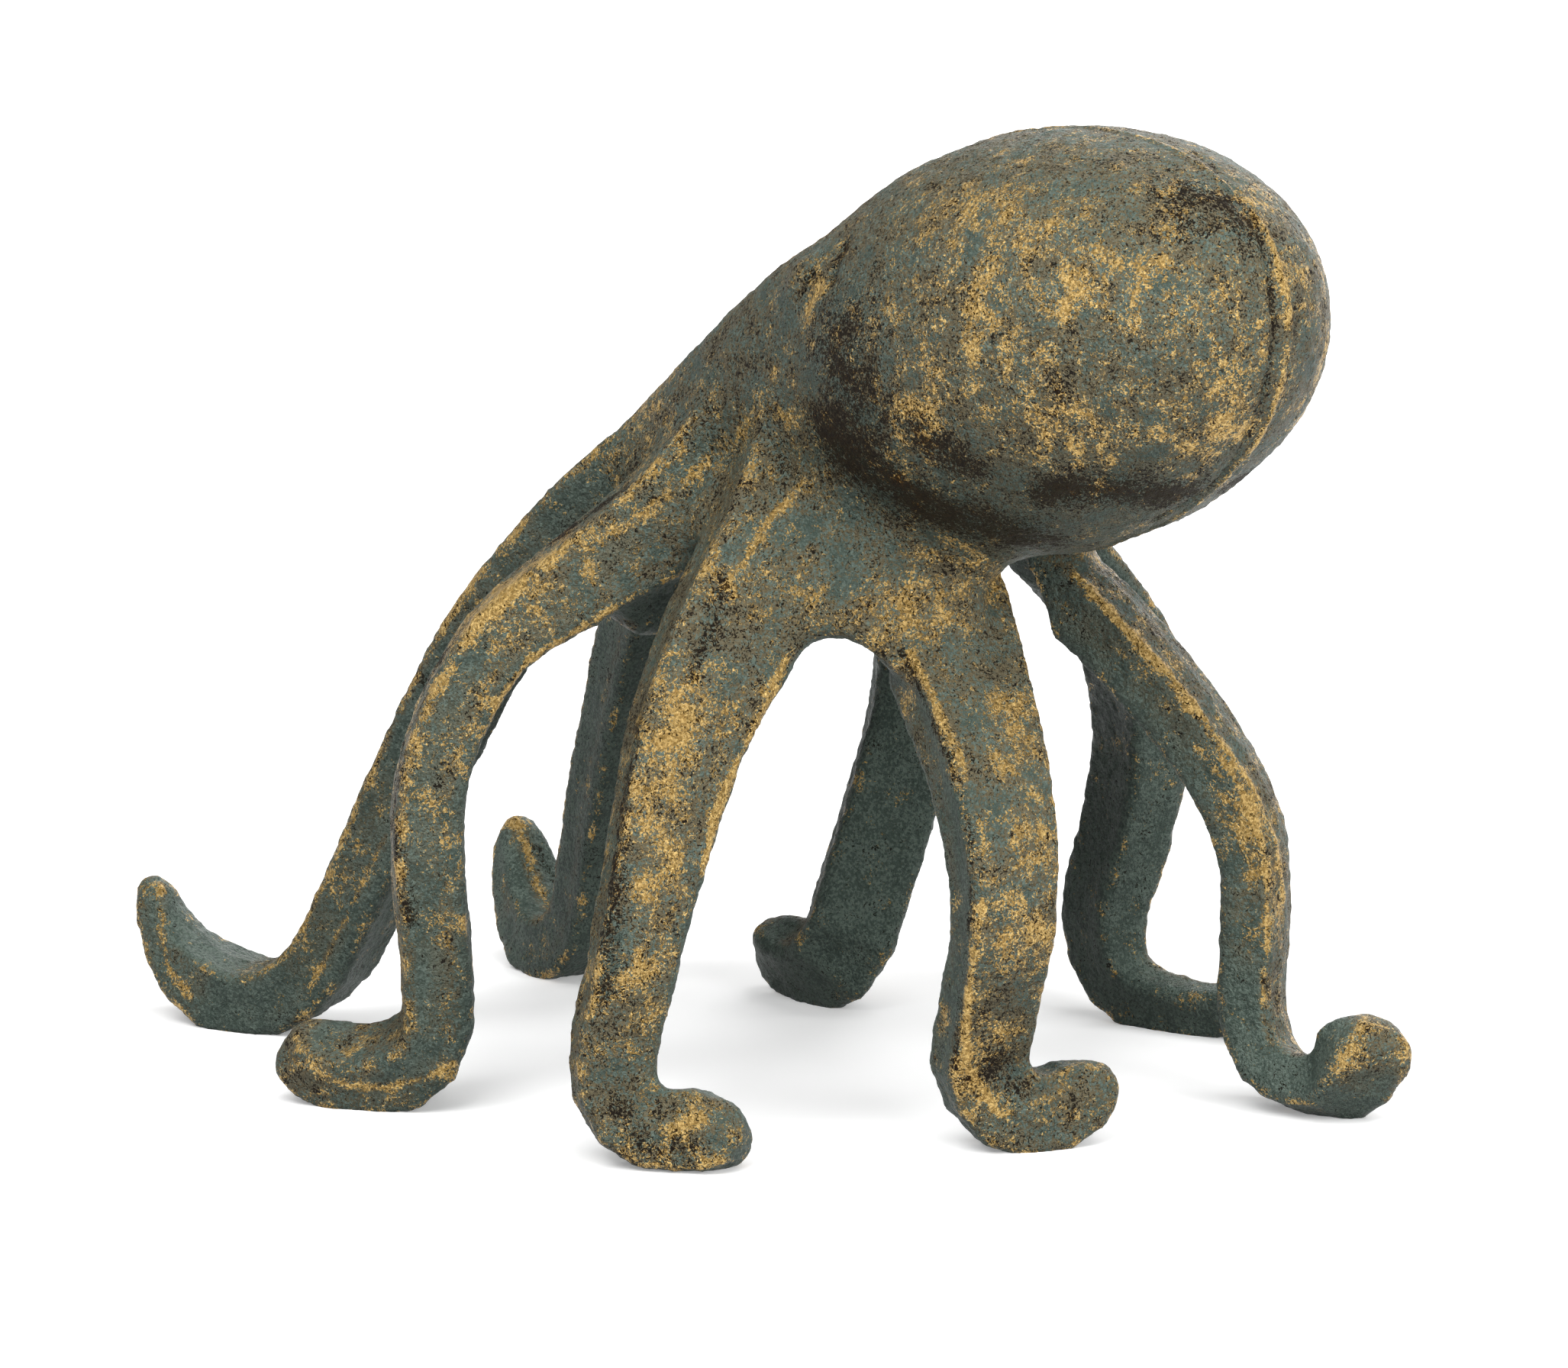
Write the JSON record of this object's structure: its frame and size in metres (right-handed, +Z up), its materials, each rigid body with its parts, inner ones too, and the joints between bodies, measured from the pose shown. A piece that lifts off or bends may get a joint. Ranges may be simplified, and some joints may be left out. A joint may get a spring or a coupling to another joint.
{
  "type": "octopus phone holder",
  "caption": "Cast iron octopus standing on its curled arms, with a raised egg-shaped mantle and front arms ending in upturned hooks that hold a phone or card against its sloping brow.",
  "frame": {"origin": "middle of the floor rectangle that the object covers, on the floor", "axes": "+Z up, -Y the way the octopus faces and holds its load, +X its left side"},
  "size_m": [0.114, 0.1688, 0.1283],
  "materials": {
    "verdigris_iron": "grainy sand-cast surface with verdigris green paint, dark wash in the hollows and gold rubbed over the high spots",
    "rubbed_lid": "the same grainy painted casting, with more gold rubbed over the raised lid"
  },
  "bodies": {
    "root": {"mantle": "verdigris_iron", "head": "verdigris_iron", "eye_left": "rubbed_lid", "eye_right": "rubbed_lid", "arm_front_left": "verdigris_iron", "arm_side_front_left": "verdigris_iron", "arm_side_rear_left": "verdigris_iron", "arm_rear_left": "verdigris_iron", "arm_rear_right": "verdigris_iron", "arm_side_rear_right": "verdigris_iron", "arm_side_front_right": "verdigris_iron", "arm_front_right": "verdigris_iron"}
  },
  "joints": []
}
